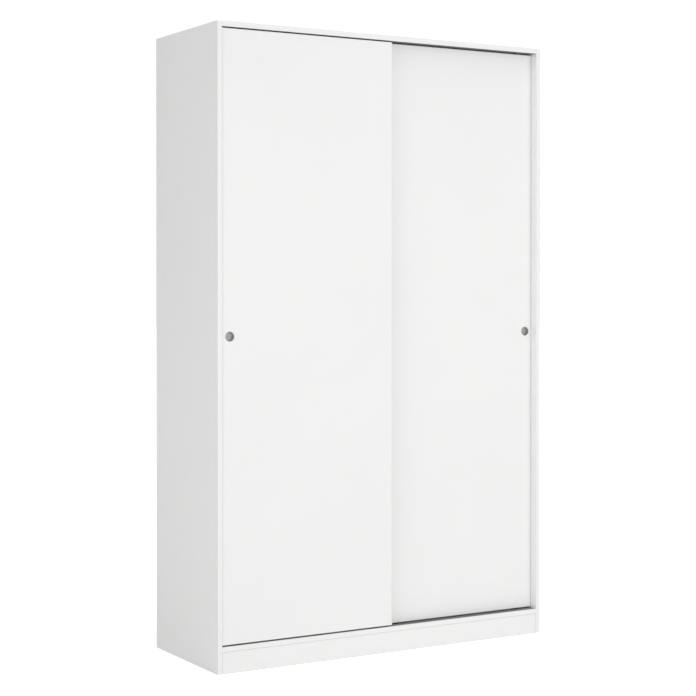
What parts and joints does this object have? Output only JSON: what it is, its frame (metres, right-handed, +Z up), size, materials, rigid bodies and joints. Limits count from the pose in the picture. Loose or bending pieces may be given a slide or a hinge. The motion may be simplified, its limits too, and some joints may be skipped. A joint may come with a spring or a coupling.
{
  "type": "sliding door wardrobe",
  "caption": "Tall white wardrobe with sliding doors in separate lanes, flush round finger pulls, a hanging bay with a rail, and a bay of adjustable shelves.",
  "frame": {"origin": "on the floor, under the middle of the wardrobe", "axes": "+Z up; the doors face -Y; +X to the right as seen from the front"},
  "size_m": [1.35, 0.5, 2.2],
  "materials": {
    "white_melamine": "white melamine foil on particleboard, satin, very fine texture",
    "hardboard": "hardboard, white-coated inside and bare brown outside",
    "white_plastic": "extruded white plastic",
    "track_grey": "extruded grey plastic",
    "satin_nickel": "pressed steel, satin nickel plated",
    "chrome_plate": "bright chrome plate",
    "zinc_steel": "zinc-plated steel",
    "spring_steel": "drawn spring wire",
    "beech": "turned and fluted beech",
    "black_plastic": "moulded black plastic"
  },
  "bodies": {
    "carcass": {"left_side_panel": "white_melamine", "right_side_panel": "white_melamine", "top_panel": "white_melamine", "bottom_panel": "white_melamine", "front_plinth": "white_melamine", "rear_plinth": "white_melamine", "plinth_rib": "white_melamine", "centre_partition": "white_melamine", "left_hat_shelf": "white_melamine", "right_hat_shelf": "white_melamine", "adjustable_shelf_1": "white_melamine", "adjustable_shelf_2": "white_melamine", "adjustable_shelf_3": "white_melamine", "adjustable_shelf_4": "white_melamine", "shelf_pins": "zinc_steel", "hanging_rail": "chrome_plate", "left_rail_bracket": "chrome_plate", "right_rail_bracket": "chrome_plate", "left_back_panel": "hardboard", "right_back_panel": "hardboard", "back_joining_strip": "white_plastic", "back_nails": "zinc_steel", "top_track": "track_grey", "bottom_track": "track_grey", "track_screws": "zinc_steel", "cam_locks": "zinc_steel", "cam_bolts": "zinc_steel", "wooden_dowels": "beech", "left_wall_bracket": "zinc_steel", "right_wall_bracket": "zinc_steel", "bracket_screws": "zinc_steel", "track_end_stops": "track_grey"},
    "front_door": {"front_door_panel": "white_melamine", "front_door_pull": "satin_nickel", "front_door_left_roller_housing": "black_plastic", "front_door_right_roller_housing": "black_plastic", "front_door_roller_axles": "zinc_steel", "front_door_housing_screws": "zinc_steel", "front_door_left_guide_housing": "black_plastic", "front_door_right_guide_housing": "black_plastic", "front_door_left_guide_spring": "spring_steel", "front_door_right_guide_spring": "spring_steel"},
    "front_door_left_roller": {"front_door_left_roller": "black_plastic"},
    "front_door_left_guide_pin": {"front_door_left_guide_pin": "black_plastic"},
    "front_door_right_roller": {"front_door_right_roller": "black_plastic"},
    "front_door_right_guide_pin": {"front_door_right_guide_pin": "black_plastic"},
    "rear_door": {"rear_door_panel": "white_melamine", "rear_door_pull": "satin_nickel", "rear_door_left_roller_housing": "black_plastic", "rear_door_right_roller_housing": "black_plastic", "rear_door_roller_axles": "zinc_steel", "rear_door_housing_screws": "zinc_steel", "rear_door_left_guide_housing": "black_plastic", "rear_door_right_guide_housing": "black_plastic", "rear_door_left_guide_spring": "spring_steel", "rear_door_right_guide_spring": "spring_steel"},
    "rear_door_left_roller": {"rear_door_left_roller": "black_plastic"},
    "rear_door_left_guide_pin": {"rear_door_left_guide_pin": "black_plastic"},
    "rear_door_right_roller": {"rear_door_right_roller": "black_plastic"},
    "rear_door_right_guide_pin": {"rear_door_right_guide_pin": "black_plastic"}
  },
  "joints": [
    {"name": "front_door_slide", "type": "slide", "parent": "carcass", "child": "front_door", "axis": [1, 0, 0], "range_m": [0, 0.6375]},
    {"name": "front_door_left_roller_spin", "type": "hinge", "parent": "front_door", "child": "front_door_left_roller", "pos_m": [-0.5865, -0.238, 0.1013], "axis": [0, 1, 0], "continuous": true},
    {"name": "front_door_left_guide_pin_slide", "type": "slide", "parent": "front_door", "child": "front_door_left_guide_pin", "axis": [0, 0, 1], "range_m": [-0.01, 0], "stiffness_N_per_m": 250, "springref_m": 0.004, "deforming": ["front_door_left_guide_spring"]},
    {"name": "front_door_right_roller_spin", "type": "hinge", "parent": "front_door", "child": "front_door_right_roller", "pos_m": [-0.051, -0.238, 0.1013], "axis": [0, 1, 0], "continuous": true},
    {"name": "front_door_right_guide_pin_slide", "type": "slide", "parent": "front_door", "child": "front_door_right_guide_pin", "axis": [0, 0, 1], "range_m": [-0.01, 0], "stiffness_N_per_m": 250, "springref_m": 0.004, "deforming": ["front_door_right_guide_spring"]},
    {"name": "rear_door_slide", "type": "slide", "parent": "carcass", "child": "rear_door", "axis": [1, 0, 0], "range_m": [-0.6375, 0]},
    {"name": "rear_door_left_roller_spin", "type": "hinge", "parent": "rear_door", "child": "rear_door_left_roller", "pos_m": [0.051, -0.21, 0.1013], "axis": [0, 1, 0], "continuous": true},
    {"name": "rear_door_left_guide_pin_slide", "type": "slide", "parent": "rear_door", "child": "rear_door_left_guide_pin", "axis": [0, 0, 1], "range_m": [-0.01, 0], "stiffness_N_per_m": 250, "springref_m": 0.004, "deforming": ["rear_door_left_guide_spring"]},
    {"name": "rear_door_right_roller_spin", "type": "hinge", "parent": "rear_door", "child": "rear_door_right_roller", "pos_m": [0.5865, -0.21, 0.1013], "axis": [0, 1, 0], "continuous": true},
    {"name": "rear_door_right_guide_pin_slide", "type": "slide", "parent": "rear_door", "child": "rear_door_right_guide_pin", "axis": [0, 0, 1], "range_m": [-0.01, 0], "stiffness_N_per_m": 250, "springref_m": 0.004, "deforming": ["rear_door_right_guide_spring"]}
  ],
  "couplings": [
    {"joint": "front_door_left_roller_spin", "follows": "front_door_slide", "rad_per_m": 66.667},
    {"joint": "front_door_right_roller_spin", "follows": "front_door_slide", "rad_per_m": 66.667},
    {"joint": "rear_door_left_roller_spin", "follows": "rear_door_slide", "rad_per_m": 66.667},
    {"joint": "rear_door_right_roller_spin", "follows": "rear_door_slide", "rad_per_m": 66.667}
  ]
}
